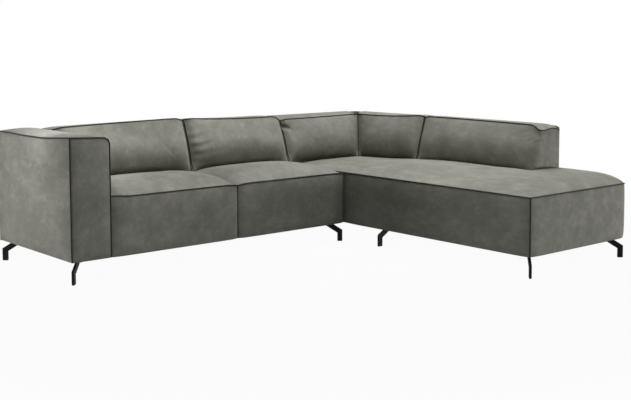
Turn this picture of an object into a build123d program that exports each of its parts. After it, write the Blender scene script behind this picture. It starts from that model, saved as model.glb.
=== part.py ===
"""Corner sofa in two modules: a two-seat module with one arm, and a corner module with an open end.

Millimetres, +Z up. The origin is on the floor under the middle of the sofa's box.
The two-seat module runs along X and faces -Y. The corner module runs along Y and faces -X.
"""
import math
import os

from build123d import *

# Plan of the two wings
arm_width = 240.0
seat_width = 840.0
wing_depth = 900.0
open_end_reach = 1500.0
open_end_seat = 500.0
module_gap = 2.0
back_seam_shift = 30.0

# Heights above the floor
leg_height = 118.0
seat_height = 442.0
arm_height = 768.0
back_height = 772.0
back_rear_height = arm_height

# Depth of the back, at the seat and at its top seam
rear_back_foot = 335.0
rear_back_top = 235.0
side_back_foot = 265.0
side_back_top = 186.0

# How far the upholstery swells between its seams
seat_rise = 40.0
seat_swell = 12.0
chaise_rise = 54.0
front_bow = 6.0
arm_crown = 16.0
back_belly = 24.0
back_crown = 9.0
back_seam_dip = 14.0
seam_rise = 6.0

# Cover, foam and frame
cover_thickness = 3.0
fit = 0.4
front_padding = 25.0
side_padding = 20.0
dust_thickness = 1.5
rail_height = 160.0
rail_thickness = 40.0
post_width = 40.0
post_depth = 25.0
back_rail_height = 40.0
back_rail_cover = 36.0
arm_board_cover = 34.0
panel_thickness = 12.0
board_thickness = 18.0
back_panel_thickness = 4.0
block_leg = 160.0
block_height = 60.0
slat_width = 110.0
slat_thickness = 25.0
mid_leg_from_corner = 280.0

# Seat webbing and the felt over it
strap_width = 70.0
strap_thickness = 2.0
strap_pitch = 140.0
strap_end = 4.0
felt_thickness = 8.0

# Legs of bent flat bar, with their screws and glides
foot_width = 32.0
bar_thickness = 14.0
bar_edge_round = 1.5
knee_height = 72.0
slant_angle = 32.0
leg_inset = 14.0
mid_leg_inset = 24.0
plate_length = 92.0
plate_width = 62.0
plate_thickness = 5.0
glide_thickness = 4.0
glide_margin = 1.5
screw_diameter = 4.5
screw_length = 30.0
screw_head_diameter = 9.0
screw_head_height = 3.0
screw_hole_clearance = 0.25
screw_edge = 12.0

# Coupling between the modules
tongue_thickness = 4.0
tongue_length = 120.0
tongue_reach = 20.0
tongue_width = 80.0
tongue_setback = 200.0
tongue_screw_edge = 14.0
pin_diameter = 10.0
pin_height = 38.0
pin_tip = 2.0
pin_clearance = 0.3
socket_wall = 3.0
socket_flange_width = 4.0
socket_flange_thickness = 1.0
socket_depth = 44.0
tongue_clearance = 1.0

# Planes that the pieces share
two_seat_length = arm_width + 2 * seat_width
x_left = -(two_seat_length + wing_depth) / 2
x_right = -x_left
x_arm = x_left + arm_width
x_division = x_arm + seat_width
x_join = x_left + two_seat_length
x_left_end = x_join - module_gap
y_rear = (wing_depth + open_end_reach) / 2
y_end = -y_rear
y_front = y_rear - wing_depth
y_back_end = y_end + open_end_seat
x_back_seam = x_division + back_seam_shift
y_mid_leg = y_front - mid_leg_from_corner

rail_bottom = leg_height + dust_thickness
rail_top = rail_bottom + rail_height
felt_bottom = rail_top + strap_thickness
felt_top = felt_bottom + felt_thickness
back_frame_top = back_height - back_rail_cover
rear_back_line = seat_height + seat_rise + seam_rise
side_back_line = seat_height + chaise_rise + seam_rise
arm_frame_top = arm_height - arm_board_cover
x_outer_frame = x_right - cover_thickness
y_outer_frame = y_rear - cover_thickness
x_inner_frame = x_join + front_padding
y_front_frame = y_front + front_padding
y_end_frame = y_end + front_padding
x_arm_frame = x_left + front_padding
x_arm_inner_frame = x_arm - side_padding
x_join_frame = x_left_end - cover_thickness
y_post_rear = y_outer_frame - back_panel_thickness
y_post_front = y_post_rear - post_depth
x_post_outer = x_outer_frame - back_panel_thickness
x_post_inner = x_post_outer - post_depth
beyond = 2000.0
foam_inset = cover_thickness + fit

os.makedirs("parts", exist_ok=True)


def save(node, solids):
    """Writes one node: a single solid, or a group of separate solids."""
    if isinstance(solids, (list, tuple)):
        solids = Compound(children=list(solids))
    solids.label = node
    export_step(solids, f"parts/{node}.step")


def box(x, y, z):
    """Box between pairs of planes."""
    size = (x[1] - x[0], y[1] - y[0], z[1] - z[0])
    middle = ((x[0] + x[1]) / 2, (y[0] + y[1]) / 2, (z[0] + z[1]) / 2)
    return Pos(*middle) * Box(*size)


def upright(x, y, z, diameter):
    """Cylinder along Z between two heights."""
    return Pos(x, y, (z[0] + z[1]) / 2) * Cylinder(diameter / 2, z[1] - z[0])


def outline(place, corners):
    """Closed wire through (across, height, bow) corners; a bow swells the side to the next corner outward."""
    edges = []
    for (a0, b0, bow), (a1, b1, _) in zip(corners, corners[1:] + corners[:1]):
        if bow:
            run = math.hypot(a1 - a0, b1 - b0)
            middle = ((a0 + a1) / 2 + bow * (b1 - b0) / run, (b0 + b1) / 2 - bow * (a1 - a0) / run)
            edges.append(ThreePointArc(place(a0, b0), place(*middle), place(a1, b1)))
        else:
            edges.append(Line(place(a0, b0), place(a1, b1)))
    return Wire(edges)


def along_x(x):
    """Puts a section across the two-seat wing, its depth measured from the front face."""
    return lambda depth, z: (x, y_front + depth, z)


def along_y(y):
    """Puts a section across the corner wing, its depth measured from the inner face."""
    return lambda depth, z: (x_join + depth, y, z)


def only(shape):
    """The one solid of a shape that was cut."""
    found = shape.solids()
    return max(found, key=lambda solid: solid.volume)


# Seats: crowned pads whose tops rise to the back and drop at the divisions

seat_stations = ((0.0, 0.0), (0.2, 0.72), (0.5, 1.0), (0.8, 0.72), (1.0, 0.0))
chaise_stations = ((0.0, 0.12), (0.07, 0.62), (0.22, 1.0), (0.55, 0.86), (0.88, 0.58), (1.0, 0.3))


def seat_form(x, inset, depth_end):
    """One seat of the two-seat wing, from its hem to its crown."""
    start, end = x[0] + inset, x[1] - inset
    sections = []
    for share, full in seat_stations:
        front = front_bow + inset
        front_top = seat_height - seam_rise * (1 - full) - inset
        rear_top = seat_height + seat_rise * full - inset
        corners = [
            (front, leg_height, 0),
            (depth_end, leg_height, 0),
            (depth_end, rear_top, seam_rise + seat_swell * full),
            (front, front_top, front_bow),
        ]
        sections.append(outline(along_x(start + share * (end - start)), corners))
    return Solid.make_loft(sections)


def chaise_form(y, inset):
    """The long seat of the corner wing, crowned between its two long edges and highest near its open end."""
    start, end = y[0] + inset, y[1]
    sections = []
    for share, full in chaise_stations:
        front = front_bow + inset
        rear = wing_depth - inset
        top = seat_height - inset
        corners = [
            (front, leg_height, 0),
            (rear, leg_height, 0),
            (rear, top, seam_rise + chaise_rise * full),
            (front, top, front_bow),
        ]
        sections.append(outline(along_y(start + share * (end - start)), corners))
    return Solid.make_loft(sections)


def seat_frame_space(top):
    """Room under the two seats for the frame, the webbing and the felt."""
    return box((x_left - beyond, x_right + beyond), (y_front_frame, y_rear + beyond), (-beyond, top))


seat_rear_depth = wing_depth - rear_back_foot - fit
seat_spans = {
    "1": (x_arm + fit / 2, x_division - fit / 2),
    "2": (x_division + fit / 2, x_left_end),
}
for number, span in seat_spans.items():
    hollow = seat_form(span, cover_thickness, seat_rear_depth)
    seat_cover = seat_form(span, 0, seat_rear_depth) - hollow - seat_frame_space(felt_top + fit)
    save(f"seat_cover_{number}", only(seat_cover))
    seat_foam = seat_form(span, foam_inset, seat_rear_depth) - seat_frame_space(felt_top)
    seat_foam -= box((x_left, x_right), (y_front - beyond, y_rear), (-beyond, rail_bottom))
    save(f"seat_foam_{number}", only(seat_foam))


def chaise_frame_space(outer, top):
    """Room under the long seat for the frame, the webbing and the felt."""
    return box((x_inner_frame, outer), (y_end_frame, y_rear + beyond), (-beyond, top))


chaise_span = (y_end, y_rear - rear_back_foot - fit)
side_back_space = box(
    (x_right - side_back_foot - fit, x_right + beyond), (y_back_end - fit, y_rear + beyond), (-beyond, beyond)
)
tongue_spots = [y_front + tongue_setback, y_rear - tongue_setback]
tongue_slots = [
    box(
        (x_join - beyond, x_inner_frame),
        (y - tongue_width / 2 - tongue_clearance, y + tongue_width / 2 + tongue_clearance),
        (-beyond, leg_height + tongue_clearance),
    )
    for y in tongue_spots
]
chaise_hollow = chaise_form(chaise_span, cover_thickness)
chaise_cover = chaise_form(chaise_span, 0) - chaise_hollow - side_back_space
chaise_cover -= chaise_frame_space(x_outer_frame, felt_top + fit)
for slot in tongue_slots:
    chaise_cover -= slot
save("corner_seat_cover", only(chaise_cover))
chaise_foam = chaise_form(chaise_span, foam_inset) - chaise_frame_space(x_right, felt_top) - side_back_space
chaise_foam -= box((x_left, x_right), (y_end - beyond, y_rear), (-beyond, rail_bottom))
save("corner_seat_foam", only(chaise_foam))


# Backs: leaning cushions with a soft belly, a domed top and side seams that draw in

back_stations = ((0.0, 0.0), (0.1, 0.75), (0.5, 1.0), (0.9, 0.75), (1.0, 0.0))


def back_form(wing, span, inset, low):
    """One back cushion: upright behind the seat, then leaning back to its top seam."""
    if wing is along_x:
        foot, top, line = rear_back_foot, rear_back_top, rear_back_line
    else:
        foot, top, line = side_back_foot, side_back_top, side_back_line
    rear = wing_depth - cover_thickness
    start, end = span[0] + inset, span[1] - inset
    sections = []
    for share, full in back_stations:
        foot_front = wing_depth - foot + inset
        seam_front = wing_depth - top + inset
        seam_top = back_height - back_seam_dip * (1 - full) - inset
        corners = [
            (foot_front, low, 0),
            (rear, low, 0),
            (rear, back_rear_height - inset, seam_rise / 2 + back_crown * full),
            (seam_front, seam_top, seam_rise + back_belly * full),
            (foot_front, line, 0),
        ]
        sections.append(outline(wing(start + share * (end - start)), corners))
    return Solid.make_loft(sections)


def rear_frame_space(reach):
    """Room behind the back cushions along the rear for posts, top rail and back panel."""
    return box(
        (x_left - beyond, x_right + beyond),
        (y_post_front - reach, y_rear + beyond),
        (-beyond, back_frame_top + reach),
    )


def side_frame_space(reach):
    """Room behind the back cushions along the outer side for posts, top rail and back panel."""
    return box(
        (x_post_inner - reach, x_right + beyond),
        (y_back_end + cover_thickness, y_rear + beyond),
        (-beyond, back_frame_top + reach),
    )


def corner_half(side, gap):
    """Space on one side of the upright mitre plane through the rear outer corner."""
    lean = math.atan2(rear_back_foot, side_back_foot)
    corner = (x_right, y_rear)
    ahead = (math.cos(lean), math.sin(lean))
    across = (-ahead[1] * side, ahead[0] * side)
    near = (corner[0] + across[0] * gap, corner[1] + across[1] * gap)
    points = [
        (near[0] - ahead[0] * beyond, near[1] - ahead[1] * beyond),
        (near[0] + ahead[0] * beyond, near[1] + ahead[1] * beyond),
        (near[0] + (ahead[0] + across[0]) * beyond, near[1] + (ahead[1] + across[1]) * beyond),
        (near[0] + (across[0] - ahead[0]) * beyond, near[1] + (across[1] - ahead[1]) * beyond),
    ]
    face = make_face(Polyline(*points, close=True))
    return Pos(0, 0, -beyond) * extrude(face, 2 * beyond)


backs = {
    "1": (along_x, (x_arm + fit / 2, x_back_seam - fit / 2), 0),
    "2": (along_x, (x_back_seam + fit / 2, x_left_end), 0),
    "3": (along_x, (x_join + fit, x_outer_frame), 1),
    "4": (along_y, (y_front + fit / 2, y_outer_frame), -1),
    "5": (along_y, (y_back_end, y_front - fit / 2), 0),
}
for number, (wing, span, mitre) in backs.items():
    back_cover = back_form(wing, span, 0, felt_top + fit) - back_form(wing, span, cover_thickness, felt_top)
    back_foam = back_form(wing, span, foam_inset, felt_top)
    if mitre or wing is along_x:
        back_cover -= rear_frame_space(fit)
        back_foam -= rear_frame_space(0)
    if mitre or wing is along_y:
        back_cover -= side_frame_space(fit)
        back_foam -= side_frame_space(0)
    if mitre:
        half = corner_half(mitre, fit / 2)
        back_cover = back_cover & half
        back_foam = back_foam & half
    save(f"back_cover_{number}", only(back_cover))
    save(f"back_foam_{number}", only(back_foam))


# Arm: a padded box with a domed top, over panels that stand on the base rails

arm_stations = ((0.0, 0.35), (0.25, 0.9), (0.6, 1.0), (1.0, 0.75))


def arm_form(inset, rear):
    """The arm from its hem to its domed top."""
    start, end = y_front + inset, rear
    sections = []
    for share, full in arm_stations:
        y = start + share * (end - start)
        outer = x_left + front_bow + inset
        inner = x_arm - fit / 2 - inset
        top = arm_height - inset
        corners = [
            (outer, leg_height, 0),
            (inner, leg_height, 0),
            (inner, top, arm_crown * full),
            (outer, top, front_bow),
        ]
        sections.append(outline(lambda x, z, y=y: (x, y, z), corners))
    return Solid.make_loft(sections)


def arm_frame_space(reach):
    """Room inside the arm for its panels, and under its inner side for the base rails."""
    inside = box(
        (x_arm_frame, x_arm_inner_frame), (y_front_frame, y_rear + beyond), (-beyond, arm_frame_top)
    )
    under = box((x_arm_frame, x_arm + beyond), (y_front_frame, y_rear + beyond), (-beyond, rail_top + reach))
    return inside + under


arm_hollow = arm_form(cover_thickness, y_outer_frame)
arm_cover = arm_form(0, y_outer_frame) - arm_hollow - arm_frame_space(fit)
save("arm_cover", only(arm_cover))
arm_foam = arm_form(foam_inset, y_outer_frame) - arm_frame_space(0)
arm_foam -= box((x_left, x_right), (y_front - beyond, y_rear), (-beyond, rail_bottom))
save("arm_foam", only(arm_foam))

arm_panel_y = (y_front_frame + panel_thickness, y_outer_frame)
arm_panel_z = (rail_top, arm_frame_top - board_thickness)
save(
    "arm_side_panels",
    [
        box((x_arm_frame, x_arm_frame + panel_thickness), arm_panel_y, arm_panel_z),
        box((x_arm_inner_frame - panel_thickness, x_arm_inner_frame), arm_panel_y, arm_panel_z),
    ],
)
arm_frame_x = (x_arm_frame, x_arm_inner_frame)
save("arm_front_board", box(arm_frame_x, (y_front_frame, y_front_frame + panel_thickness), arm_panel_z))
save("arm_top_board", box(arm_frame_x, (y_front_frame, y_outer_frame), (arm_panel_z[1], arm_frame_top)))


# Legs: welded from one bent bar and a screw plate, one under each corner and one under each long side

slant = math.radians(slant_angle)
knee_drop = foot_width * math.tan((math.pi / 2 - slant) / 2)
plate_bottom = leg_height - plate_thickness
slant_outer = (plate_bottom - knee_height) / math.tan(slant)
slant_inner = foot_width + (plate_bottom - knee_height + knee_drop) / math.tan(slant)
plate_centre = (slant_outer + slant_inner) / 2
screw_spots = [
    (plate_centre + along * (plate_length / 2 - screw_edge), across * (plate_width / 2 - screw_edge))
    for along in (-1, 1)
    for across in (-1, 1)
]
screw_hole = screw_diameter + screw_hole_clearance


def leg_shape():
    """The leg standing at the origin, its foot's outer end at x = 0 and its plate reaching along +X."""
    side = Polyline(
        (0, glide_thickness),
        (foot_width, glide_thickness),
        (foot_width, knee_height - knee_drop),
        (slant_inner, plate_bottom),
        (slant_outer, plate_bottom),
        (0, knee_height),
        close=True,
    )
    bar = extrude(Plane.XZ * make_face(side), bar_thickness / 2, both=True)
    long_edges = [edge for edge in bar.edges() if abs(edge.center().Y) > bar_thickness / 4]
    kept = [edge for edge in long_edges if abs(edge.center().Z - plate_bottom) > 1]
    kept = [edge for edge in kept if abs(edge.center().Z - glide_thickness) > 1]
    bar = fillet(kept, bar_edge_round)
    plate = box(
        (plate_centre - plate_length / 2, plate_centre + plate_length / 2),
        (-plate_width / 2, plate_width / 2),
        (plate_bottom, leg_height),
    )
    for along, across in screw_spots:
        plate -= upright(along, across, (plate_bottom - 1, leg_height + 1), screw_hole)
    return only(bar + plate)


def screw_shape(seat):
    """Pan-head screw driven upward, its head's top face at the height of its seat."""
    head = upright(0, 0, (seat - screw_head_height, seat), screw_head_diameter)
    head = fillet(head.faces().sort_by(Axis.Z)[0].edges(), screw_head_height / 2)
    return only(head + upright(0, 0, (seat, seat + screw_length), screw_diameter))


def glide_shape():
    """Plastic pad under a foot."""
    return box(
        (glide_margin, foot_width - glide_margin),
        (glide_margin - bar_thickness / 2, bar_thickness / 2 - glide_margin),
        (0, glide_thickness),
    )


def corner_spot(x, y, inward_x, inward_y):
    """Place and heading of a corner leg, which lies in the upright plane halfway between the two sides."""
    heading = math.degrees(math.atan2(inward_y, inward_x))
    return Pos(x + inward_x * leg_inset, y + inward_y * leg_inset, 0) * Rot(0, 0, heading)


left_legs = {
    "leg_arm_front": corner_spot(x_left, y_front, 1, 1),
    "leg_arm_rear": corner_spot(x_left, y_rear, 1, -1),
    "leg_join_front": corner_spot(x_left_end, y_front, -1, 1),
    "leg_join_rear": corner_spot(x_left_end, y_rear, -1, -1),
}
right_legs = {
    "leg_end_inner": corner_spot(x_join, y_end, 1, 1),
    "leg_end_outer": corner_spot(x_right, y_end, -1, 1),
    "leg_corner_inner": corner_spot(x_join, y_rear, 1, -1),
    "leg_corner_outer": corner_spot(x_right, y_rear, -1, -1),
    "leg_mid_inner": Pos(x_join + mid_leg_inset, y_mid_leg, 0),
    "leg_mid_outer": Pos(x_right - mid_leg_inset, y_mid_leg, 0) * Rot(0, 0, 180),
}
leg = leg_shape()
glide = glide_shape()
leg_screw = screw_shape(plate_bottom)
screw_places = {}
for side, legs in (("left", left_legs), ("right", right_legs)):
    for node, spot in legs.items():
        save(node, spot * leg)
    save(f"{side}_leg_glides", [spot * glide for spot in legs.values()])
    screw_places[side] = [
        spot * Pos(along, across, 0) for spot in legs.values() for along, across in screw_spots
    ]

x_pin = x_inner_frame + rail_thickness / 2
x_tongue = (x_pin + tongue_reach - tongue_length, x_pin + tongue_reach)
x_tongue_screw = x_join_frame - rail_thickness / 2
tongue_screw_shift = tongue_width / 2 - tongue_screw_edge
tongue_screw_places = [
    Pos(x_tongue_screw, y + side * tongue_screw_shift, 0) for y in tongue_spots for side in (-1, 1)
]
tongue_bottom = leg_height - tongue_thickness
tongue_screw = screw_shape(tongue_bottom)
left_screws = [place * leg_screw for place in screw_places["left"]]
left_screws += [place * tongue_screw for place in tongue_screw_places]
save("left_screws", left_screws)
save("right_screws", [place * leg_screw for place in screw_places["right"]])


def drilled(shape, places):
    """The shape with a pilot hole for each screw."""
    hole = upright(0, 0, (0, leg_height + screw_length + 1), screw_hole)
    for place in places:
        shape -= place * hole
    return only(shape)


# Coupling: tongues under the two-seat module, whose pins stand in sockets in the corner module's inner rail

tongues = []
for y in tongue_spots:
    plate = box(x_tongue, (y - tongue_width / 2, y + tongue_width / 2), (tongue_bottom, leg_height))
    pin = upright(x_pin, y, (leg_height, leg_height + pin_height), pin_diameter)
    pin = chamfer(pin.faces().sort_by(Axis.Z)[-1].edges(), pin_tip)
    tongues.append(drilled(plate + pin, tongue_screw_places))
save("coupling_tongues", tongues)

socket_bore = pin_diameter + 2 * pin_clearance
socket_outside = socket_bore + 2 * socket_wall
socket_flange = socket_outside + 2 * socket_flange_width
flange_bottom = rail_bottom - socket_flange_thickness
sockets = []
for y in tongue_spots:
    sleeve = upright(x_pin, y, (flange_bottom, rail_bottom + socket_depth), socket_outside)
    flange = upright(x_pin, y, (flange_bottom, rail_bottom), socket_flange)
    bore = upright(x_pin, y, (0, rail_bottom + socket_depth + 1), socket_bore)
    sockets.append(only(sleeve + flange - bore))
save("coupling_sockets", sockets)


# Base frames: upright rails on edge, glued corner blocks and, under the corner module, a flat middle slat

rail_z = (rail_bottom, rail_top)
left_rail_x = (x_arm_frame, x_join_frame)
front_rail_y = (y_front_frame, y_front_frame + rail_thickness)
rear_rail_y = (y_outer_frame - rail_thickness, y_outer_frame)
between_y = (front_rail_y[1], rear_rail_y[0])
long_rails = [box(left_rail_x, y, rail_z) for y in (front_rail_y, rear_rail_y)]
save("left_long_rails", [drilled(rail, screw_places["left"]) for rail in long_rails])
arm_rail_x = (x_arm_frame, x_arm_frame + rail_thickness)
centre_rail_x = (x_division - rail_thickness / 2, x_division + rail_thickness / 2)
cross_rails = [box(x, between_y, rail_z) for x in (arm_rail_x, centre_rail_x)]
save("left_cross_rails", [drilled(rail, screw_places["left"]) for rail in cross_rails])
joining_rail = box((x_join_frame - rail_thickness, x_join_frame), between_y, rail_z)
save("left_joining_rail", drilled(joining_rail, screw_places["left"] + tongue_screw_places))

inner_rail_x = (x_inner_frame, x_inner_frame + rail_thickness)
outer_rail_x = (x_outer_frame - rail_thickness, x_outer_frame)
end_rail_y = (y_end_frame, y_end_frame + rail_thickness)
across_x = (inner_rail_x[1], outer_rail_x[0])
inner_rail = box(inner_rail_x, (y_end_frame, y_outer_frame), rail_z)
for y in tongue_spots:
    inner_rail -= upright(x_pin, y, (0, rail_bottom + socket_depth), socket_outside + screw_hole_clearance)
save("right_inner_rail", drilled(inner_rail, screw_places["right"]))
outer_rail = box(outer_rail_x, (y_end_frame, y_outer_frame), rail_z)
save("right_outer_rail", drilled(outer_rail, screw_places["right"]))
end_rails = [box(across_x, y, rail_z) for y in (end_rail_y, rear_rail_y)]
save("right_cross_rails", [drilled(rail, screw_places["right"]) for rail in end_rails])
slat_y = (y_mid_leg - slat_width / 2, y_mid_leg + slat_width / 2)
slat = box(across_x, slat_y, (rail_bottom, rail_bottom + slat_thickness))
save("right_middle_slat", drilled(slat, screw_places["right"]))


def corner_block(x, y, inward_x, inward_y, places):
    """Three-cornered block glued where two rails meet."""
    tips = (x + inward_x * block_leg, y), (x, y + inward_y * block_leg)
    face = make_face(Polyline((x, y), *tips, close=True))
    block = Pos(0, 0, rail_bottom) * extrude(face, block_height, dir=(0, 0, 1))
    return drilled(block, places)


left_inside_x = (x_arm_frame + rail_thickness, x_join_frame - rail_thickness)
save(
    "left_corner_blocks",
    [
        corner_block(left_inside_x[0], between_y[0], 1, 1, screw_places["left"]),
        corner_block(left_inside_x[0], between_y[1], 1, -1, screw_places["left"]),
        corner_block(left_inside_x[1], between_y[0], -1, 1, screw_places["left"]),
        corner_block(left_inside_x[1], between_y[1], -1, -1, screw_places["left"]),
    ],
)
save(
    "right_corner_blocks",
    [
        corner_block(across_x[0], end_rail_y[1], 1, 1, screw_places["right"]),
        corner_block(across_x[1], end_rail_y[1], -1, 1, screw_places["right"]),
        corner_block(across_x[0], rear_rail_y[0], 1, -1, screw_places["right"]),
        corner_block(across_x[1], rear_rail_y[0], -1, -1, screw_places["right"]),
    ],
)


# Back frames: posts on the rear and outer rails, a rail along their tops and a thin panel behind

post_z = (rail_top, back_frame_top - back_rail_height)
back_rail_z = (post_z[1], back_frame_top)
post_y = (y_post_front, y_post_rear)
post_x = (x_post_inner, x_post_outer)
left_back_x = (x_arm + cover_thickness + fit, x_join_frame)


def rear_post(x):
    """Post on a rear rail, from its left side."""
    return box((x, x + post_width), post_y, post_z)


save(
    "left_back_posts",
    [rear_post(x) for x in (left_back_x[0], x_back_seam - post_width / 2, left_back_x[1] - post_width)],
)
save("left_back_top_rail", box(left_back_x, post_y, back_rail_z))
panel_z = (rail_top, back_frame_top)
save("left_back_panel", box(left_back_x, (y_post_rear, y_outer_frame), panel_z))

right_back_x = (x_join + cover_thickness, x_post_outer)
side_back_y = (y_back_end + cover_thickness + fit, y_post_front)
save(
    "right_back_posts",
    [
        rear_post(inner_rail_x[0]),
        box(post_x, post_y, post_z),
        box(post_x, (y_front - post_width / 2, y_front + post_width / 2), post_z),
        box(post_x, (side_back_y[0], side_back_y[0] + post_width), post_z),
    ],
)
save(
    "right_back_top_rails",
    [box(right_back_x, post_y, back_rail_z), box(post_x, side_back_y, back_rail_z)],
)
save(
    "right_back_panels",
    [
        box(right_back_x, (y_post_rear, y_outer_frame), panel_z),
        box((x_post_outer, x_outer_frame), (side_back_y[0], y_outer_frame), panel_z),
    ],
)


# Seat suspension: elastic webbing stretched from rail to rail, with a felt pad over it


def spread(start, end, pitch):
    """Even places between two ends, about one pitch apart and half a step in from each end."""
    count = max(1, round((end - start) / pitch))
    step = (end - start) / count
    return [start + (k + 0.5) * step for k in range(count)]


strap_z = (rail_top, rail_top + strap_thickness)
half_strap = strap_width / 2
left_strap_y = (front_rail_y[0] + strap_end, y_post_front - fit)
left_straps = []
for span in seat_spans.values():
    for x in spread(span[0], span[1], strap_pitch):
        left_straps.append(box((x - half_strap, x + half_strap), left_strap_y, strap_z))
save("left_webbing", left_straps)
right_strap_x = (inner_rail_x[0] + strap_end, x_post_inner - fit)
right_straps = []
for y in spread(end_rail_y[1], between_y[1], strap_pitch):
    right_straps.append(box(right_strap_x, (y - half_strap, y + half_strap), strap_z))
save("right_webbing", right_straps)

felt_z = (felt_bottom, felt_top)
felt_y = (front_rail_y[0] + fit, y_post_front - fit)
save("left_webbing_felt", box((x_arm + fit, x_join_frame - fit), felt_y, felt_z))
right_felt = box((inner_rail_x[0] + fit, x_post_inner - fit), (end_rail_y[0] + fit, felt_y[1]), felt_z)
save("right_webbing_felt", right_felt)


# Outside covers: plain panels over the rear, the outer side and the hidden joining faces

cover_z = (leg_height, back_rear_height)
low_z = (leg_height, felt_top)
left_rear = box((x_left + front_bow, x_left_end), (y_outer_frame, y_rear), cover_z)
end_x = (x_join_frame, x_left_end)
left_column = box(end_x, (y_post_front + fit, y_outer_frame), (leg_height, back_frame_top))
left_lining = box(end_x, (y_front_frame + fit, y_outer_frame), low_z)
save("left_outside_cover", only(left_rear + left_column + left_lining))

right_rear = box((x_join, x_right), (y_outer_frame, y_rear), cover_z)
right_side = box((x_outer_frame, x_right), (y_back_end + fit, y_rear), cover_z)
y_seat_rear = y_rear - rear_back_foot
right_return = box((x_join, x_join + cover_thickness), (y_seat_rear, y_outer_frame), low_z)
right_outside = right_rear + right_side + right_return
for slot in tongue_slots:
    right_outside -= slot
save("right_outside_cover", only(right_outside))

dust_z = (leg_height, rail_bottom)
left_dust = box((x_arm_frame, x_join_frame), (y_front_frame, y_outer_frame), dust_z)
save("left_dust_cover", drilled(left_dust, screw_places["left"] + tongue_screw_places))
right_dust = box((x_inner_frame, x_outer_frame), (y_end_frame, y_outer_frame), dust_z)
for y in tongue_spots:
    room = tongue_width / 2 + tongue_clearance
    right_dust -= box((x_join, x_tongue[1] + tongue_clearance), (y - room, y + room), (0, rail_bottom + 1))
save("right_dust_cover", drilled(right_dust, screw_places["right"]))
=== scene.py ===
import math

import bmesh
import bpy
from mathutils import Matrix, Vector, noise


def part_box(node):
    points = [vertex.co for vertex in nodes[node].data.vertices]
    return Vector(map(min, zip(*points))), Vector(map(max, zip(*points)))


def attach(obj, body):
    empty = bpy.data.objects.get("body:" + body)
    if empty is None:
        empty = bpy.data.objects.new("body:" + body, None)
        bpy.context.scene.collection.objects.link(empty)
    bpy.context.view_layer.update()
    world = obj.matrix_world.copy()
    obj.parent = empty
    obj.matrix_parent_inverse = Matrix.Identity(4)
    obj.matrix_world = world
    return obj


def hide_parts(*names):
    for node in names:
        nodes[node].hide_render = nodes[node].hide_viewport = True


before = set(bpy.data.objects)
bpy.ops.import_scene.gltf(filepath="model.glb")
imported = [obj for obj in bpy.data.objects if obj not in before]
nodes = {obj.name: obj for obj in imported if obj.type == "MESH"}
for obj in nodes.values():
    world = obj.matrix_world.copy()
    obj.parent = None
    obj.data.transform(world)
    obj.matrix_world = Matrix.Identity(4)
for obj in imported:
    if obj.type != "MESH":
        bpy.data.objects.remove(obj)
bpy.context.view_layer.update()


# Timber frame of the two modules: planed softwood rails, posts and slats, glued and screwed,
# with boards in the arm and thin hardboard nailed over the open back. All of it is covered.

class Finish:
    """One socket of a material, on which Python's operators add the Math nodes."""

    def __init__(self, tree, socket):
        self.tree = tree
        self.socket = socket

    def add(self, kind, settings, inputs, output=0):
        made = self.tree.nodes.new(kind)
        for name, value in settings.items():
            if name == "stops":
                made.color_ramp.elements[0].position, made.color_ramp.elements[0].color = value[0]
                made.color_ramp.elements[1].position, made.color_ramp.elements[1].color = value[-1]
                for place, colour in value[1:-1]:
                    made.color_ramp.elements.new(place).color = colour
            else:
                setattr(made, name, value)
        for name, value in inputs.items():
            if isinstance(value, Finish):
                self.tree.links.new(value.socket, made.inputs[name])
            else:
                made.inputs[name].default_value = value
        return Finish(self.tree, made.outputs[output])

    def maths(self, operation, first, second):
        return self.add("ShaderNodeMath", {"operation": operation}, {0: first, 1: second})

    def __add__(self, other):
        return self.maths("ADD", self, other)

    def __sub__(self, other):
        return self.maths("SUBTRACT", self, other)

    def __rsub__(self, other):
        return self.maths("SUBTRACT", other, self)

    def __mul__(self, other):
        return self.maths("MULTIPLY", self, other)

    __radd__ = __add__
    __rmul__ = __mul__

    def noise(self, scale, detail, roughness):
        inputs = {"Vector": self, "Scale": scale, "Detail": detail, "Roughness": roughness}
        return self.add("ShaderNodeTexNoise", {}, inputs)

    def stretched(self, scale):
        return self.add("ShaderNodeMapping", {}, {"Vector": self, "Scale": scale})

    def between(self, dark, light):
        """A colour from dark to light. The Mix node's colour sockets go by number, 6 and 7 in and 2 out."""
        mix = {"data_type": "RGBA", "clamp_factor": True}
        return self.add("ShaderNodeMix", mix, {0: self, 6: dark, 7: light}, 2)

    def bump(self, strength, distance):
        return self.add("ShaderNodeBump", {}, {"Height": self, "Strength": strength, "Distance": distance})

    def feed(self, shader, name):
        self.tree.links.new(self.socket, shader.inputs[name])


def new_finish(name, roughness, metallic=0.0, specular=0.5):
    material = bpy.data.materials.new(name)
    material.use_nodes = True
    tree = material.node_tree
    shader = tree.nodes["Principled BSDF"]
    shader.inputs["Roughness"].default_value = roughness
    shader.inputs["Metallic"].default_value = metallic
    shader.inputs["Specular IOR Level"].default_value = specular
    place = Finish(tree, tree.nodes.new("ShaderNodeTexCoord").outputs["Object"])
    return material, shader, place


def paint_nodes(material, *names):
    for name in names:
        nodes[name].data.materials.clear()
        nodes[name].data.materials.append(material)


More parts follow.
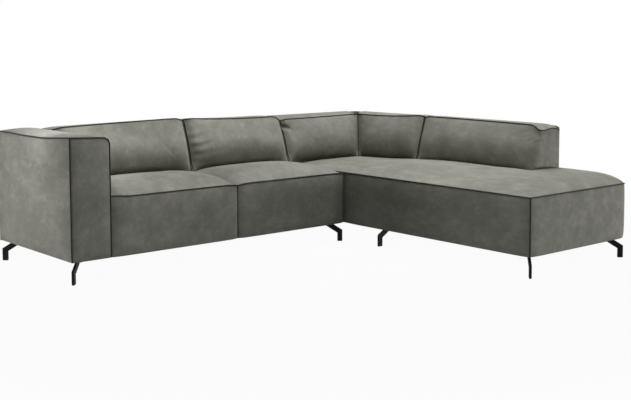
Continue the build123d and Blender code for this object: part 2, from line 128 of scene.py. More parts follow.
timber_dark = (0.42, 0.27, 0.13, 1)
timber_light = (0.62, 0.45, 0.26, 1)
timber_streaks = (3, 60, 60)
timber, timber_shader, place = new_finish("planed_softwood", roughness=0.62)
grain = place.stretched(timber_streaks).noise(scale=3, detail=6, roughness=0.6)
grain.between(timber_dark, timber_light).feed(timber_shader, "Base Color")
grain.bump(strength=0.25, distance=0.0006).feed(timber_shader, "Normal")
paint_nodes(
    timber,
    "left_long_rails", "left_cross_rails", "left_joining_rail", "left_corner_blocks", "left_back_posts",
    "left_back_top_rail", "right_inner_rail", "right_outer_rail", "right_cross_rails", "right_middle_slat",
    "right_corner_blocks", "right_back_posts", "right_back_top_rails",
)

board_dark = (0.20, 0.12, 0.06, 1)
board_light = (0.34, 0.22, 0.12, 1)
hardboard, hardboard_shader, place = new_finish("pressed_board", roughness=0.7)
fibres = place.noise(scale=420, detail=4, roughness=0.7)
fibres.between(board_dark, board_light).feed(hardboard_shader, "Base Color")
fibres.bump(strength=0.2, distance=0.0004).feed(hardboard_shader, "Normal")
paint_nodes(
    hardboard,
    "arm_front_board", "arm_side_panels", "arm_top_board", "left_back_panel", "right_back_panels",
)


# Seat suspension: flat elastic webbing stretched from rail to rail, with a needled felt pad on it
# that keeps the straps from marking the foam.

webbing_dark = (0.03, 0.03, 0.035, 1)
webbing_light = (0.09, 0.09, 0.09, 1)
webbing, webbing_shader, place = new_finish("elastic_webbing", roughness=0.8)
ribs = place.add("ShaderNodeTexWave", {"bands_direction": "DIAGONAL"}, {"Vector": place, "Scale": 160.0})
ribs.between(webbing_dark, webbing_light).feed(webbing_shader, "Base Color")
ribs.bump(strength=0.4, distance=0.0006).feed(webbing_shader, "Normal")
paint_nodes(webbing, "left_webbing", "right_webbing")

felt_dark = (0.10, 0.10, 0.11, 1)
felt_light = (0.30, 0.29, 0.28, 1)
felt, felt_shader, place = new_finish("needled_felt", roughness=0.95, specular=0.2)
tufts = place.noise(scale=260, detail=8, roughness=0.8)
tufts.between(felt_dark, felt_light).feed(felt_shader, "Base Color")
tufts.bump(strength=0.6, distance=0.0015).feed(felt_shader, "Normal")
paint_nodes(felt, "left_webbing_felt", "right_webbing_felt")


# Arm at the left end: boards wrapped in foam under one fitted cover of brushed leather-look cloth,
# sewn with piping round the front panel and along the outer top edge, and stapled under the base.

hide_deep = (0.176, 0.177, 0.152, 1)
hide_mid = (0.224, 0.223, 0.193, 1)
hide_worn = (0.288, 0.285, 0.248, 1)
hide_rubbed = (0.350, 0.346, 0.304, 1)
brush_strokes = (1.0, 0.55, 1.0)
rub_level = 0.57
rub_contrast = 3.2
dullest = 0.86
scuff_shine = 0.24
hide, hide_shader, place = new_finish("brushed_grey_hide", roughness=0.72, specular=0.25)
cloud = place.noise(scale=3.4, detail=3, roughness=0.5)
brushed = place.stretched(brush_strokes)
patches = brushed.noise(scale=9, detail=3, roughness=0.55)
scuff = brushed.noise(scale=24, detail=6, roughness=0.7)
pores = place.noise(scale=620, detail=3, roughness=0.6)
rubs = brushed.noise(scale=30, detail=5, roughness=0.62)
nap = cloud * 0.30 + patches * 0.34 + scuff * 0.30 + pores * 0.06
shades = [(0.39, hide_deep), (0.5, hide_mid), (0.61, hide_worn)]
tone = place.add("ShaderNodeValToRGB", {"stops": shades}, {"Fac": nap})
((rubs - rub_level) * rub_contrast).between(tone, hide_rubbed).feed(hide_shader, "Base Color")
(dullest - scuff * scuff_shine).feed(hide_shader, "Roughness")
(pores * 0.6 + scuff * 0.4).bump(strength=0.2, distance=0.001).feed(hide_shader, "Normal")

# Painted shade: the piping is far darker than the cover cloth it is made of, for the shade in the seams.
piping_painted_shade_dark = (0.016, 0.016, 0.014, 1)
piping_painted_shade_light = (0.040, 0.039, 0.034, 1)
welt, welt_shader, place = new_finish("piping_painted_seam_shade", roughness=0.78, specular=0.25)
twist = place.noise(scale=300, detail=3, roughness=0.6)
twist.between(piping_painted_shade_dark, piping_painted_shade_light).feed(welt_shader, "Base Color")
twist.bump(strength=0.3, distance=0.0006).feed(welt_shader, "Normal")

touching = 1e-5
face_margin = 0.001
seam_margin = 0.005
fold_angle = 1
seam_firmness = 0.75
stuffing_pressure = 4
stuffing_frames = 20


def swell(share, fullness):
    """0 at both seams and 1 midway between them, steeper at the seams the greater the fullness."""
    return 1 - abs(2 * share - 1) ** fullness


def ease(share):
    """A smooth step from 0 to 1."""
    share = min(max(share, 0), 1)
    return share * share * (3 - 2 * share)


def near_start(share, width):
    """1 where a share starts, falling to 0 over the width."""
    return max(0, 1 - share / width)


def near_end(share, width):
    """0 until the last width of a share, and 1 where it ends."""
    return max(0, (share - (1 - width)) / width)


def at_start(share):
    return share < 0.001


def at_end(share):
    return share > 0.999


def inside_seams(place, low, high):
    return low + seam_margin < place < high - seam_margin


def steps(start, end, pitch):
    count = max(1, round((end - start) / pitch))
    return [start + (end - start) * number / count for number in range(1, count)]


def cut(mesh, axis, places):
    """Cuts the whole mesh across one axis, so that its faces can swell between the seams."""
    for where in places:
        point = [0, 0, 0]
        point[axis] = where
        normal = [0, 0, 0]
        normal[axis] = 1
        every = [*mesh.verts, *mesh.edges, *mesh.faces]
        bmesh.ops.bisect_plane(mesh, geom=every, plane_co=point, plane_no=normal)


def slab(plan, bottom, top):
    """A flat block on a plan outline."""
    mesh = bmesh.new()
    base = mesh.faces.new([mesh.verts.new((x, y, bottom)) for x, y in plan])
    grown = bmesh.ops.extrude_face_region(mesh, geom=[base])
    lifted = [item for item in grown["geom"] if isinstance(item, bmesh.types.BMVert)]
    bmesh.ops.translate(mesh, verts=lifted, vec=(0, 0, top - bottom))
    bmesh.ops.recalc_face_normals(mesh, faces=mesh.faces)
    return mesh


def hang(mesh, level, hem, inside):
    """Draws the underside faces of a padded strip down to a hem."""
    strip = []
    for face in mesh.faces:
        middle = face.calc_center_median()
        if abs(middle.z - level) < touching and abs(face.normal.z) > 0.9 and inside(middle):
            strip.append(face)
    edges = {edge for face in strip for edge in face.edges}
    verts = {vert for face in strip for vert in face.verts}
    grown = bmesh.ops.extrude_face_region(mesh, geom=[*strip, *edges, *verts])
    lowered = [item for item in grown["geom"] if isinstance(item, bmesh.types.BMVert)]
    bmesh.ops.translate(mesh, verts=lowered, vec=(0, 0, hem - level))


def plump(piece, held, most):
    """Blows up the loose panels of a piece between its sewn edges, and eases off how far they move."""
    flat = [vert.co.copy() for vert in piece.data.vertices]
    sewn = piece.vertex_groups.new(name="sewn")
    sewn.add(held, 1, "REPLACE")
    stuffing = piece.modifiers.new("stuffing", "CLOTH")
    stuffing.settings.vertex_group_mass = "sewn"
    stuffing.settings.use_pressure = True
    stuffing.settings.uniform_pressure_force = stuffing_pressure
    stuffing.settings.effector_weights.gravity = 0
    for number in range(1, stuffing_frames + 1):
        bpy.context.scene.frame_set(number)
    swollen = piece.evaluated_get(bpy.context.evaluated_depsgraph_get()).to_mesh()
    full = [vert.co.copy() for vert in swollen.vertices]
    piece.modifiers.remove(stuffing)
    piece.vertex_groups.clear()
    for vert, start, end in zip(piece.data.vertices, flat, full):
        shift = end - start
        if shift.length > 1e-6:
            shift *= most * (1 - math.exp(-shift.length / most)) / shift.length
        vert.co = start + shift
    bpy.context.scene.frame_set(1)


def upholster(name, mesh, shape, crease, loose=None, most=0):
    """Gives a cut block its stuffed shape, swells its loose panels and rounds its edges."""
    bmesh.ops.recalc_face_normals(mesh, faces=mesh.faces)
    firm = mesh.edges.layers.float.new("crease_edge")
    for edge in mesh.edges:
        if edge.calc_face_angle(0) > fold_angle:
            edge[firm] = crease
    mesh.verts.index_update()
    held = [vert.index for vert in mesh.verts if loose is None or not loose(vert.co)]
    for vert in mesh.verts:
        vert.co = shape(vert.co.copy())
    for face in mesh.faces:
        face.smooth = True
    bmesh.ops.recalc_face_normals(mesh, faces=mesh.faces)
    data = bpy.data.meshes.new(name)
    mesh.to_mesh(data)
    mesh.free()
    piece = bpy.data.objects.new(name, data)
    bpy.context.scene.collection.objects.link(piece)
    if loose is not None:
        plump(piece, held, most)
    rounding = piece.modifiers.new("rounding", "SUBSURF")
    rounding.levels = 1
    rounding.render_levels = 1
    data.materials.append(hide)
    return piece


welt_lines = {"two_seat_module": [], "corner_module": []}


def sew(body, shape, start, end, pitch=0.03):
    """Notes a run of piping along one straight edge of a block, carried along by its shape."""
    start = Vector(start)
    end = Vector(end)
    count = max(2, round((end - start).length / pitch))
    points = [shape(start.lerp(end, number / count)) for number in range(count + 1)]
    welt_lines[body].append(points)


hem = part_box("seat_cover_1")[0].z
hem_roll = hem + 0.010
hem_tuck = 0.006
welt_foot = hem + 0.004
cut_pitch = 0.025
arm_low, arm_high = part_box("arm_cover")
arm_seam = 0.768
arm_crown = 0.012
arm_sag = 0.009
arm_lift = 0.011
arm_bow = 0.008
arm_hollow = 0.003
arm_corner = 0.009
arm_corner_across = 0.1
arm_corner_up = 0.05
arm_fill = 0.008
arm_padding = 0.025
arm_inner_padding = 0.020
arm_firm_foot = 0.03
arm_slab = 0.736
seat_base = 0.290
arm_left = arm_low.x + arm_bow
arm_right = arm_high.x
arm_front = arm_low.y + arm_bow
arm_rear = arm_high.y
arm_inside = arm_right - arm_inner_padding


def arm_shape(point):
    across = (point.x - arm_left) / (arm_right - arm_left)
    along = (point.y - arm_front) / (arm_rear - arm_front)
    up = (point.z - hem) / (arm_seam - hem)
    if at_end(up):
        dome = arm_crown * swell(across, 2.4) * swell(min(along, 0.94), 5)
        sag = arm_sag * swell(min(along, 0.8), 2) - arm_lift * (1 - ease(along / 0.4))
        point.z += dome - sag * (1 - across)
        point.z -= arm_corner * near_end(across, arm_corner_across) ** 2
    if at_start(across):
        point.x -= arm_bow * swell(up, 12) * swell(along, 14)
    if at_start(along):
        point.y -= arm_bow * swell(up, 12) * swell(across, 5)
    if at_end(across):
        point.x -= arm_hollow * swell(along, 6)
        point.x -= arm_corner * near_end(up, arm_corner_up) ** 2
    tuck = hem_tuck * near_start(up, 0.03) ** 2
    if at_start(across):
        point.x += tuck
    if at_start(along):
        point.y += tuck
    return point


arm_plan = [(arm_left, arm_front), (arm_right, arm_front), (arm_right, arm_rear), (arm_left, arm_rear)]
arm_block = slab(arm_plan, arm_slab, arm_seam)
arm_wall = arm_left + arm_padding
arm_face = arm_front + arm_padding
cut(arm_block, 0, [arm_wall, arm_inside])
cut(arm_block, 1, [arm_face])
hang(arm_block, arm_slab, seat_base, lambda at: at.x < arm_wall or at.x > arm_inside or at.y < arm_face)
hang(arm_block, seat_base, hem, lambda at: at.x < arm_wall or at.y < arm_face)
cut(arm_block, 0, steps(arm_wall, arm_inside, cut_pitch))
cut(arm_block, 1, steps(arm_face, arm_rear, cut_pitch))
cut(arm_block, 2, [hem_roll, *steps(hem_roll, arm_slab, cut_pitch)])


def arm_loose(point):
    wide = inside_seams(point.x, arm_left, arm_right)
    deep = inside_seams(point.y, arm_front, arm_rear)
    tall = hem + arm_firm_foot < point.z < arm_seam - seam_margin
    top = point.z > arm_seam - face_margin and wide and deep
    return top or (point.x < arm_left + face_margin and deep and tall)


arm = upholster("arm_upholstery", arm_block, arm_shape, seam_firmness, arm_loose, arm_fill)
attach(arm, "two_seat_module")
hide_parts("arm_cover", "arm_foam")
sew("two_seat_module", arm_shape, (arm_left, arm_front, welt_foot), (arm_left, arm_front, arm_seam))
sew("two_seat_module", arm_shape, (arm_right, arm_front, welt_foot), (arm_right, arm_front, arm_seam))
sew("two_seat_module", arm_shape, (arm_left, arm_front, arm_seam), (arm_right, arm_front, arm_seam))
sew("two_seat_module", arm_shape, (arm_left, arm_front, arm_seam), (arm_left, arm_rear, arm_seam))


# Two seats: cold foam blocks on the webbing, softened with wadding and covered in one piece over the
# top, with piping where the top panel is sewn to the front apron.

seat_seam = 0.442
seat_rise = 0.062
seat_roll = 0.65
seat_rear_fall = 0.37
seat_slump = 0.008
seat_fill = 0.018
seat_bow = 0.013
seat_pinch = 0.003
seat_padding = 0.025
seat_edge = 0.012
lump = 0.003
lump_scale = 6
apron_tuck = 0.06
arm_reach = 0.07


def fade(distance, width):
    """1 on a line, falling smoothly away over the width on both sides of it."""
    return math.exp(-((distance / width) ** 2))


def make_seat(number, piped_left, lift, fullness):
    """One seat, lifted beside the arm at its front by the height given."""
    cover = f"seat_cover_{number}"
    low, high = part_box(cover)
    front = low.y + seat_bow
    rear = high.y
    face = front + seat_padding

    def shape(point):
        across = (point.x - low.x) / (high.x - low.x)
        along = (point.y - front) / (rear - front)
        up = (point.z - hem) / (seat_seam - hem)
        if at_end(up):
            roll = 1 - (1 - min(along / seat_roll, 1)) ** 5
            point.z += seat_rise * swell(across, fullness) * roll * (1 - seat_rear_fall * along ** 3)
            point.z += lump * noise.noise(point * lump_scale) * roll
        if at_start(along):
            point.y -= seat_bow * swell(max(up, 0.5), 4) * swell(across, 14)
            point.y += hem_tuck * near_start(up, apron_tuck) ** 2
            point.y += seat_pinch * abs(2 * across - 1) ** 36
        point.z -= seat_slump * max(up, 0) * abs(2 * across - 1) ** 14
        beside_arm = fade(point.x - low.x, arm_reach)
        point.z += lift * max(up, 0) ** 3 * beside_arm * (1 - ease(along * 3))
        return point

    def loose(point):
        flat = inside_seams(point.x, low.x, high.x) and inside_seams(point.y, front, rear)
        return point.z > seat_seam - face_margin and flat

    plan = [(low.x, front), (high.x, front), (high.x, rear), (low.x, rear)]
    block = slab(plan, seat_base, seat_seam)
    cut(block, 1, [face])
    hang(block, seat_base, hem, lambda at: at.y < face)
    edges = (low.x + seat_edge, high.x - seat_edge)
    cut(block, 0, [edges[0], *steps(*edges, cut_pitch), edges[1]])
    cut(block, 1, steps(face, rear, cut_pitch))
    cut(block, 2, [hem_roll, *steps(hem_roll, seat_seam, cut_pitch)])
    seat = upholster(f"seat_upholstery_{number}", block, shape, seam_firmness, loose, seat_fill)
    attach(seat, "two_seat_module")
    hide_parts(cover, f"seat_foam_{number}")
    sew("two_seat_module", shape, (low.x, front, seat_seam), (high.x, front, seat_seam))
    if piped_left:
        sew("two_seat_module", shape, (low.x, front, welt_foot), (low.x, front, seat_seam))


make_seat(1, piped_left=False, lift=0.015, fullness=8)
make_seat(2, piped_left=True, lift=0, fullness=4.5)


# Long seat of the corner module: one foam block from the rear corner to the open end, fuller at that
# end, under a cover with piping round its top edges and down the front corner of the end.

long_low, long_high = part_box("corner_seat_cover")
long_bow = 0.012
long_pitch = 0.028
outer_bow = 0.006
joining_clearance = 0.004
outer_clearance = 0.001
back_foot_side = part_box("back_cover_5")[0].x
back_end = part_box("back_cover_5")[0].y
long_left = long_low.x + joining_clearance
long_right = long_high.x - outer_clearance
long_end = long_low.y + long_bow
long_rear = long_high.y
join_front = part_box("seat_cover_2")[0].y
rise_corner = 0.020
rise_end = 0.058
rise_share = 0.46
open_start = 0.30
open_change = 0.45
outer_fall = 0.08
end_roll = 0.40
end_pull = 0.009
end_pull_share = 0.05


def long_shape(point):
    across = (point.x - long_left) / (long_right - long_left)
    up = (point.z - hem) / (seat_seam - hem)
    to_end = (long_rear - point.y) / (long_rear - long_end)
    if at_end(up):
        to_back = (point.x - long_left) / (back_foot_side - long_left)
        against_back = 1 - (1 - min(to_back, 1)) ** 3.2
        open_arch = (1 - (1 - across) ** 5) * (1 - outer_fall * across ** 5)
        open_share = ease((back_end + open_start - point.y) / open_change)
        arch = against_back * (1 - open_share) + open_arch * open_share
        roll = 1 - (1 - min((point.y - long_end) / end_roll, 1)) ** 4.4
        rise = rise_corner + (rise_end - rise_corner) * ease(to_end / rise_share)
        point.z += rise * arch * roll
        point.z += lump * noise.noise(point * lump_scale) * arch * roll
    if at_start(across) and point.y < join_front:
        side = (join_front - point.y) / (join_front - long_end)
        point.x -= long_bow * swell(max(up, 0.5), 4) * swell(side, 20)
        point.x += hem_tuck * near_start(up, apron_tuck) ** 2
    if at_end(to_end):
        point.y += end_pull * near_end(across, end_pull_share) ** 2
        point.y -= long_bow * swell(max(up, 0.5), 4) * swell(across, 12)
        point.y += hem_tuck * near_start(up, apron_tuck) ** 2
    if at_end(across):
        point.x += outer_bow * swell(up, 3)
    return point


def long_loose(point):
    flat = inside_seams(point.x, long_left, long_right) and inside_seams(point.y, long_end, long_rear)
    under_back = point.x > back_foot_side - seam_margin and point.y > back_end - seam_margin
    return point.z > seat_seam - face_margin and flat and not under_back


long_plan = [
    (long_left, long_end), (long_right, long_end), (long_right, back_end),
    (back_foot_side, back_end), (back_foot_side, long_rear), (long_left, long_rear),
]
long_block = slab(long_plan, seat_base, seat_seam)
long_wall = long_left + seat_padding
long_outer_wall = long_right - seat_padding
long_face = long_end + seat_padding
cut(long_block, 0, [long_wall, back_foot_side, long_outer_wall])
cut(long_block, 1, [long_face, back_end])
hang(
    long_block, seat_base, hem,
    lambda at: at.x < long_wall or at.y < long_face or at.x > long_outer_wall,
)
cut(long_block, 0, steps(long_wall, back_foot_side, long_pitch))
cut(long_block, 0, steps(back_foot_side, long_outer_wall, long_pitch))
cut(long_block, 1, steps(long_face, back_end, long_pitch))
cut(long_block, 1, steps(back_end, long_rear, long_pitch))
cut(long_block, 2, [hem_roll, *steps(hem_roll, seat_seam, cut_pitch)])
long_seat = upholster("long_seat_upholstery", long_block, long_shape, seam_firmness, long_loose, seat_fill)
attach(long_seat, "corner_module")
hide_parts("corner_seat_cover", "corner_seat_foam")
inner_end = (long_left, long_end, seat_seam)
sew("corner_module", long_shape, (long_left, long_rear, seat_seam), inner_end)
sew("corner_module", long_shape, inner_end, (long_right, long_end, seat_seam))
sew("corner_module", long_shape, (long_left, long_end, welt_foot), inner_end)


# Five back cushions, fixed to the frame: fibre-filled fronts that lean back and roll over at the top,
# each with piping along its top seam and its side seam, the two at the corner meeting on a mitre.

rear_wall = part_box("back_cover_1")[1].y
side_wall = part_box("back_cover_5")[1].x
back_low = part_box("back_cover_1")[0].z
rear_foot = rear_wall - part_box("back_cover_1")[0].y
side_foot = side_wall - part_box("back_cover_5")[0].x
rear_seam_depth = 0.232
side_seam_depth = 0.183
rear_top = 0.762
top_crown = 0.007
rear_hold = 0.35
start_drop = 0.010
start_drop_width = 0.03
end_drop_width = 0.041
mitre_drop = 0.028
mitre_drop_width = 0.05
end_rounding = 0.012
end_rounding_width = 0.03
end_overlap = 0.002
tuck_line = 0.455
tuck_in = 0.048
lean = 0.66
knee = 0.62
side_stuffing = 0.12
back_fill = 0.016
back_firmness = 0.6
seam_pinch = 0.020
gather_width = 0.024
open_rounding = 0.030
side_seam = 0.006
column_width = 0.014
rows = 48
shown_from = 0.36
welt_rows = 24
end_welt_rows = 12
mitre = side_foot / rear_foot


def make_back(number, body, along_rear, start, end, heights, mitred, end_drop, piped):
    """One back cushion along its wing, with its top seam's heights at its start, middle and end."""
    foot = rear_foot if along_rear else side_foot
    seam_depth = rear_seam_depth if along_rear else side_seam_depth
    crease = foot - tuck_in
    length = abs(end - start)

    def spot(share, back, up):
        """A point of the cushion: share along it, back from front to rear, up from its base to its top."""
        first, middle, last = heights
        from_start = share * length
        from_end = (1 - share) * length
        seam = first * (1 - share) * (1 - 2 * share) + middle * 4 * share * (1 - share)
        seam += last * share * (2 * share - 1)
        fall = start_drop * fade(from_start, start_drop_width) + end_drop * fade(from_end, end_drop_width)
        top = seam + (rear_top - seam) * back - fall * (1 - rear_hold * back) + top_crown * swell(back, 2.2)
        if mitred:
            top -= mitre_drop * ease(back * 2) * fade(from_end, mitre_drop_width)
        if number == 5:
            top -= end_rounding * back ** 8 * near_start(from_end, end_rounding_width) ** 2
        height = back_low + (top - back_low) * up
        seam -= fall
        shown = min(max((back_low + (seam - back_low) * up - tuck_line) / (seam - tuck_line), 0), 1)
        ends = swell(share, 6)
        flat = foot + (seam_depth - foot) * shown
        slope = seam_depth + lean * (foot / rear_foot) * (seam - tuck_line) * (1 - shown)
        undercut = seam_depth + lean * (foot / rear_foot) * (seam - tuck_line) - crease
        stuffed = slope - undercut * near_start(shown, knee) ** 2
        depth = flat + (stuffed - flat) * (side_stuffing + (1 - side_stuffing) * ends)
        gather = fade(from_start, gather_width)
        if number == 5:
            turn = near_start(from_end, open_rounding)
            depth -= open_rounding * (1 - math.sqrt(1 - turn * turn))
        else:
            gather += fade(from_end, gather_width)
        depth -= seam_pinch * gather * ease(shown * 4)
        depth += folds(number, from_start, from_end, height, seam, shown)
        depth *= 1 - back
        run = start + (end - start) * share
        if mitred:
            reach = side_wall - depth * mitre if along_rear else rear_wall - depth / mitre
            run = start + (reach - start) * share
        if along_rear:
            return Vector((run, rear_wall - depth, height))
        return Vector((side_wall - depth, run, height))

    block = slab([(0, 0), (1, 0), (1, 1), (0, 1)], 0, 1)
    columns = round(length / column_width)
    cut(block, 0, [side_seam / length, *steps(0, 1, 1 / columns), 1 - side_seam / length])
    cut(block, 1, [0.04, *steps(0, 1, 0.1), 0.98])
    cut(block, 2, [*steps(0, 1, 1 / rows), 0.99])

    def loose(point):
        wide = 0.01 < point.x < 0.99
        front = point.y < 0.001 and 0.44 < point.z < 0.985
        top = point.z > 0.999 and 0.03 < point.y < 0.97
        return wide and (front or top)

    name = f"back_cushion_{number}"
    cushion = upholster(name, block, lambda at: spot(*at), back_firmness, loose, back_fill)
    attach(cushion, body)
    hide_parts(f"back_cover_{number}", f"back_foam_{number}")
    welt_lines[body].append([spot(place / columns, 0, 1) for place in range(columns + 1)])
    beside = {"start": side_seam / length, "finish": 1 - side_seam / length, "corner": 1}
    heights_up = [shown_from + (1 - shown_from) * row / welt_rows for row in range(welt_rows + 1)]
    for seam_name, share in beside.items():
        if seam_name in piped:
            welt_lines[body].append([spot(share, 0, up) for up in heights_up])
    if "end" in piped:
        welt_lines[body].append([spot(1, row / end_welt_rows, 1) for row in range(end_welt_rows + 1)])


fan_height = 0.625
fan_pitch = 0.050
fan_depth = 0.008
fan_reach = 0.15
fan_band = 0.635
fan_band_width = 0.08
notch_drop = 0.055
notch_slant = 0.35
notch_depth = 0.034
notch_width = 0.013
notch_middle = 0.03
notch_reach = 0.045
ear_depth = 0.010
pucker_depth = 0.004
pucker_pitch = 0.034


def folds(number, from_start, from_end, height, seam, shown):
    """Unevenness of the filling, and creases at the left seams of cushions 2 and 3 and the open end of 5."""
    uneven = 0.004 * noise.noise(Vector((from_start * 5, shown * 2, number * 7.3))) * swell(shown, 2)
    if number == 2:
        fan = (height - fan_height) * (1 - 0.9 * from_start) - 0.10 * from_start
        spread = fade(from_start, fan_reach) * ease(from_start / 0.03)
        band = fade(height - fan_band, fan_band_width)
        uneven += fan_depth * spread * band * math.sin(2 * math.pi * fan / fan_pitch)
    if number == 3:
        notch = (height - (seam - notch_drop)) + notch_slant * (from_start - 0.04)
        uneven -= notch_depth * fade(notch, notch_width) * fade(from_start - notch_middle, notch_reach)
    if number == 5:
        ear = fade(from_end, 0.05) * fade(height - seam + 0.03, 0.02)
        uneven -= ear_depth * ear
        pucker = fade(from_end, 0.07) * fade(height - seam + 0.06, 0.05)
        uneven += pucker_depth * pucker * math.sin(2 * math.pi * (height + 0.6 * from_end) / pucker_pitch)
    return uneven


seam_shift = 0.026
back_seam_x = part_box("back_cover_1")[1].x + seam_shift
arm_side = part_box("back_cover_1")[0].x
left_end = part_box("back_cover_2")[1].x
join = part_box("back_cover_3")[0].x
side_seam_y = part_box("back_cover_4")[0].y
make_back(
    1, "two_seat_module", True, arm_side, back_seam_x,
    heights=(0.779, 0.790, 0.797), mitred=False, end_drop=0.016, piped={"finish"},
)
make_back(
    2, "two_seat_module", True, back_seam_x, left_end,
    heights=(0.794, 0.774, 0.774), mitred=False, end_drop=0.030, piped={"start", "finish"},
)
make_back(
    3, "corner_module", True, join, side_wall,
    heights=(0.749, 0.751, 0.757), mitred=True, end_drop=0, piped={"start", "corner"},
)
make_back(
    4, "corner_module", False, side_seam_y, rear_wall,
    heights=(0.780, 0.759, 0.756), mitred=True, end_drop=0, piped={"start"},
)
make_back(
    5, "corner_module", False, side_seam_y, back_end - end_overlap,
    heights=(0.774, 0.773, 0.767), mitred=False, end_drop=0.033, piped={"start", "end"},
)


# Piping: a cord in a bias strip of the cover cloth, sewn into the seams and swept here as one thin
# tube along each seam. Its near-black colour is painted shade, which stands for the shade in the seams.

welt_radius = 0.0040


def make_welts(body):
    lines = bpy.data.curves.new("piping_lines", "CURVE")
    lines.dimensions = "3D"
    lines.bevel_depth = welt_radius
    lines.bevel_resolution = 2
    lines.use_fill_caps = True
    for points in welt_lines[body]:
        run = lines.splines.new("POLY")
        run.points.add(len(points) - 1)
        for control, point in zip(run.points, points):
            control.co = (*point, 1)
    holder = bpy.data.objects.new("piping_lines", lines)
    data = bpy.data.meshes.new_from_object(holder)
    bpy.data.objects.remove(holder)
    for face in data.polygons:
        face.use_smooth = True
    data.materials.clear()
    data.materials.append(welt)
    piece = bpy.data.objects.new(f"piping_{body}", data)
    bpy.context.scene.collection.objects.link(piece)
    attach(piece, body)


make_welts("two_seat_module")
make_welts("corner_module")


# Outside covers: plain panels of the same cloth stretched over thin wadding on the rear and the outer
# side, and turned in over the faces that meet where the modules join.

panel_swell = 0.004
panel_thickness = 0.003
panel_pitch = 0.05
panel_firmness = 0.9
panel_edges = (0.008, 0.02)
panel_top_edge = 0.015
panel_drop = 0.004
panel_top = rear_top - panel_drop


def make_panel(name, body, low, high, out, node):
    """A thin upright panel between two corners that swells on its outer face."""
    low = Vector(low)
    high = Vector(high)
    thin = 0 if high.x - low.x < high.y - low.y else 1
    wide = 1 - thin

    def shape(point):
        share = (point[wide] - low[wide]) / (high[wide] - low[wide])
        up = (point.z - low.z) / (high.z - low.z)
        outer = point[thin] > high[thin] - touching if out > 0 else point[thin] < low[thin] + touching
        if outer:
            point[thin] += out * panel_swell * swell(share, 12) * swell(up, 8)
        if name == "side_panel_right":
            point.z -= end_rounding * max(0, up) ** 8 * near_start(point.y - low.y, end_rounding_width) ** 2
        return point

    plan = [(low.x, low.y), (high.x, low.y), (high.x, high.y), (low.x, high.y)]
    block = slab(plan, low.z, high.z)
    edges = [low[wide] + edge for edge in panel_edges]
    cut(block, wide, [*edges, *steps(low[wide], high[wide], panel_pitch)])
    cut(block, 2, [*steps(low.z, high.z, panel_pitch), high.z - panel_top_edge])
    panel = upholster(name, block, shape, panel_firmness)
    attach(panel, body)
    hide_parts(node)


left_low, left_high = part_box("left_outside_cover")
right_low, right_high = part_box("right_outside_cover")
wall = left_high.y - panel_thickness
make_panel(
    "rear_panel_left", "two_seat_module",
    (left_low.x, wall, hem), (left_high.x, left_high.y, panel_top), 1, "left_outside_cover",
)
make_panel(
    "joining_panel_left", "two_seat_module",
    (left_high.x - panel_thickness, left_low.y, hem), (left_high.x, wall, seat_base), 0, "left_outside_cover",
)
make_panel(
    "rear_panel_right", "corner_module",
    (right_low.x, wall, hem), (right_high.x, right_high.y, panel_top), 1, "right_outside_cover",
)
make_panel(
    "side_panel_right", "corner_module",
    (right_high.x - panel_thickness, right_low.y - end_overlap, hem),
    (right_high.x, right_high.y, panel_top), 1, "right_outside_cover",
)
make_panel(
    "joining_panel_right", "corner_module",
    (right_low.x, long_rear, hem), (right_low.x + panel_thickness, wall, seat_base), 0, "right_outside_cover",
)


# Dust covers: black spun cloth stapled under both frames, with slits for the screws and couplings.
# It keeps the stuffing in and hides the frame and the webbing from below.

cloth_dark = (0.010, 0.010, 0.011, 1)
cloth_light = (0.030, 0.030, 0.032, 1)
dust_cloth, dust_shader, place = new_finish("spun_dust_cloth", roughness=0.95, specular=0.15)
dimples = place.add("ShaderNodeTexVoronoi", {}, {"Vector": place, "Scale": 450.0})
dimples.between(cloth_dark, cloth_light).feed(dust_shader, "Base Color")
dimples.bump(strength=0.5, distance=0.0005).feed(dust_shader, "Normal")
paint_nodes(dust_cloth, "left_dust_cover", "right_dust_cover")


# Legs: bent flat steel bar welded to a plate, powder coated black, screwed up into the corner blocks,
# each on a black plastic glide. The couplings are zinc-plated plates with a pin, and sleeves in the rail.

coat_dark = (0.008, 0.008, 0.008, 1)
coat_light = (0.018, 0.018, 0.018, 1)
powder, powder_shader, place = new_finish("black_powder_coat", roughness=0.5, specular=0.08)
peel = place.noise(scale=900, detail=2, roughness=0.5)
peel.between(coat_dark, coat_light).feed(powder_shader, "Base Color")
(0.44 + peel * 0.16).feed(powder_shader, "Roughness")
peel.bump(strength=0.2, distance=0.0003).feed(powder_shader, "Normal")
paint_nodes(
    powder,
    "leg_arm_front", "leg_arm_rear", "leg_join_front", "leg_join_rear", "leg_corner_inner",
    "leg_corner_outer", "leg_mid_inner", "leg_mid_outer", "leg_end_inner", "leg_end_outer",
)

glide_dark = (0.012, 0.012, 0.012, 1)
glide_light = (0.024, 0.024, 0.024, 1)
plastic, plastic_shader, place = new_finish("glide_plastic", roughness=0.55)
moulding = place.noise(scale=1200, detail=2, roughness=0.5)
moulding.between(glide_dark, glide_light).feed(plastic_shader, "Base Color")
moulding.bump(strength=0.15, distance=0.0002).feed(plastic_shader, "Normal")
paint_nodes(plastic, "left_leg_glides", "right_leg_glides")

zinc_dark = (0.42, 0.43, 0.44, 1)
zinc_light = (0.62, 0.63, 0.64, 1)
zinc, zinc_shader, place = new_finish("zinc_plate", roughness=0.36, metallic=1.0)
spangle = place.noise(scale=240, detail=3, roughness=0.6)
spangle.between(zinc_dark, zinc_light).feed(zinc_shader, "Base Color")
(0.28 + spangle * 0.2).feed(zinc_shader, "Roughness")
paint_nodes(zinc, "coupling_tongues", "coupling_sockets", "left_screws", "right_screws")


# Studio: a wide white floor that keeps the shadow, soft lights above, at the left, over the arm,
# behind and low at the front right, and a camera at chest height before the arm.

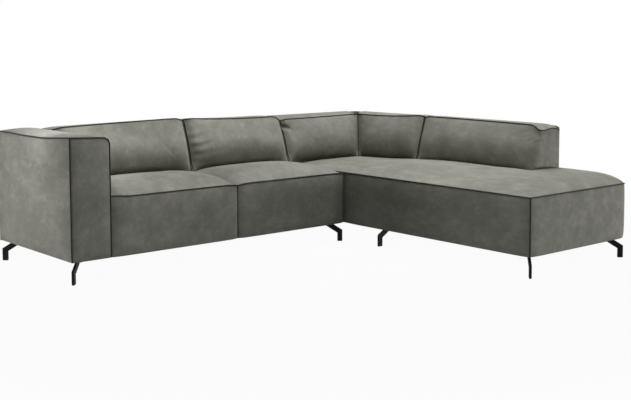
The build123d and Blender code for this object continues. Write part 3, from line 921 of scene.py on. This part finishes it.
floor_reach = 40
floor_grey = (0.24, 0.24, 0.24, 1)
white = (1, 1, 1, 1)
shadow_reach = 2.2
shadow_fall = 0.4
shadow_share = 0.04
floor_mesh = bmesh.new()
bmesh.ops.create_grid(floor_mesh, x_segments=1, y_segments=1, size=floor_reach)
floor_data = bpy.data.meshes.new("floor")
floor_mesh.to_mesh(floor_data)
floor_mesh.free()
floor = bpy.data.objects.new("floor", floor_data)
bpy.context.scene.collection.objects.link(floor)
paper = bpy.data.materials.new("floor_paper")
paper.use_nodes = True
paper_tree = paper.node_tree
paper_tree.nodes.clear()


def seen_rays(tree):
    """The rays by which the camera sees a surface: straight, in a reflection or through glass."""
    rays = Finish(tree, tree.nodes.new("ShaderNodeLightPath").outputs["Is Camera Ray"])
    seen = rays.socket.node.outputs
    return rays + Finish(tree, seen["Is Glossy Ray"]) + Finish(tree, seen["Is Transmission Ray"])


direct = seen_rays(paper_tree)
matte = direct.add("ShaderNodeBsdfDiffuse", {}, {"Color": floor_grey})
glow = direct.add("ShaderNodeEmission", {}, {"Color": white, "Strength": 1.0})
ground = direct.add("ShaderNodeTexCoord", {}, {}, "Object")
reach = direct.add("ShaderNodeVectorMath", {"operation": "LENGTH"}, {0: ground}, "Value")
beyond = direct.maths("MAXIMUM", reach - shadow_reach, 0.0)
near = direct.maths("MAXIMUM", 1.0 - beyond * shadow_fall, 0.0)
blend = direct.add("ShaderNodeMixShader", {}, {0: direct * (1.0 - near * shadow_share), 1: matte, 2: glow})
paper_out = paper_tree.nodes.new("ShaderNodeOutputMaterial")
blend.feed(paper_out, "Surface")
floor_data.materials.append(paper)

world = bpy.data.worlds.new("studio")
bpy.context.scene.world = world
world.use_nodes = True
sky_tree = world.node_tree
sky_tree.nodes.clear()
ambient = 0.06
direct = seen_rays(sky_tree)
strength = direct.maths("MINIMUM", direct, 1.0) * (1 - ambient) + ambient
sky = direct.add("ShaderNodeBackground", {}, {"Color": white, "Strength": strength})
sky_out = sky_tree.nodes.new("ShaderNodeOutputWorld")
sky.feed(sky_out, "Surface")


def soft_light(name, place, aim, width, height, power, fan=180):
    lamp = bpy.data.lights.new(name, "AREA")
    lamp.shape = "RECTANGLE"
    lamp.size = width
    lamp.size_y = height
    lamp.energy = power
    lamp.spread = math.radians(fan)
    holder = bpy.data.objects.new(name, lamp)
    holder.location = place
    holder.rotation_euler = (Vector(aim) - Vector(place)).to_track_quat("-Z", "Y").to_euler()
    bpy.context.scene.collection.objects.link(holder)


soft_light("overhead", (0.85, -0.1, 3.2), (0.5, 0.0, 0.4), width=2.4, height=2.4, power=104)
soft_light("left", (-4.4, 1.7, 0.45), (-0.5, -0.2, 0.35), width=1.2, height=0.8, power=64)
soft_light("above_arm", (-1.55, 0.75, 1.6), (-1.29, 0.75, 0.77), width=0.4, height=0.8, power=1.7, fan=44)
soft_light("behind", (0.6, 5.6, 1.0), (0.0, 1.2, 0.4), width=3.0, height=1.4, power=55)
soft_light("front_right", (4.6, -6.6, 0.1), (0.2, -0.4, 0.25), width=4.5, height=0.16, power=250)

photo_width = 631
photo_height = 400
focal_pixels = 1045.33
sight_x = 345.0
sight_y = 126.14
sight_dip = 4.5
sight_heading = -41.66
camera_data = bpy.data.cameras.new("camera")
camera_data.sensor_width = 36
camera_data.lens = focal_pixels * camera_data.sensor_width / photo_width
camera_data.shift_x = (photo_width / 2 - sight_x) / photo_width
camera_data.shift_y = (sight_y - photo_height / 2) / photo_width
camera = bpy.data.objects.new("camera", camera_data)
camera.location = (-3.924, -4.678, 1.267)
camera.rotation_euler = (math.radians(90 - sight_dip), 0, math.radians(sight_heading))
bpy.context.scene.collection.objects.link(camera)
bpy.context.scene.camera = camera
bpy.context.scene.view_settings.view_transform = "Standard"
